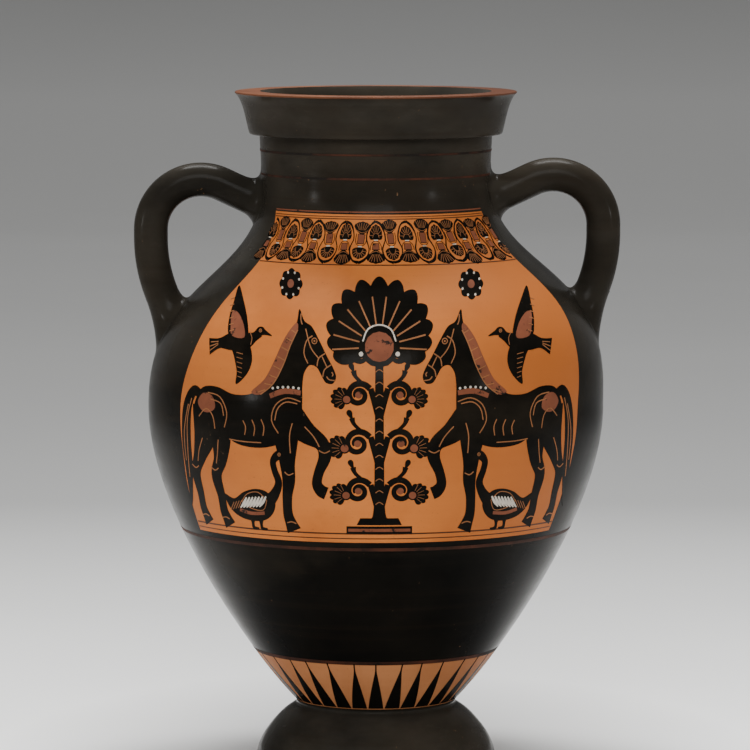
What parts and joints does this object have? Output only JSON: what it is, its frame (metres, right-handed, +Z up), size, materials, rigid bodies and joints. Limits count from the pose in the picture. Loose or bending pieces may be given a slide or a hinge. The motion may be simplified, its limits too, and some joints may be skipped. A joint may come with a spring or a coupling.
{
  "type": "amphora jar",
  "caption": "Painted clay amphora: swelling body, straight neck, flaring flat-topped lip, upright round handles and a spreading ring foot, for storing and pouring liquids.",
  "frame": {"origin": "middle of the surface that the foot stands on, on the wheel axis", "axes": "+Z up along the wheel axis, X through the two handles, the painted front towards -Y"},
  "size_m": [0.2911, 0.2738, 0.405],
  "materials": {
    "black_slip": "semi-gloss black slip, burnished, with reserved orange panels",
    "bare_clay": "matt fired orange clay"
  },
  "bodies": {
    "root": {"foot": "black_slip", "foot_fillet": "black_slip", "lower_body": "black_slip", "upper_body": "black_slip", "neck": "black_slip", "lip": "black_slip", "handle_left": "black_slip", "handle_right": "black_slip", "handle_left_upper_wad": "black_slip", "handle_left_lower_wad": "black_slip", "handle_right_upper_wad": "black_slip", "handle_right_lower_wad": "black_slip", "belly_coil": "bare_clay", "neck_coil": "bare_clay", "foot_coil": "bare_clay"}
  },
  "joints": []
}
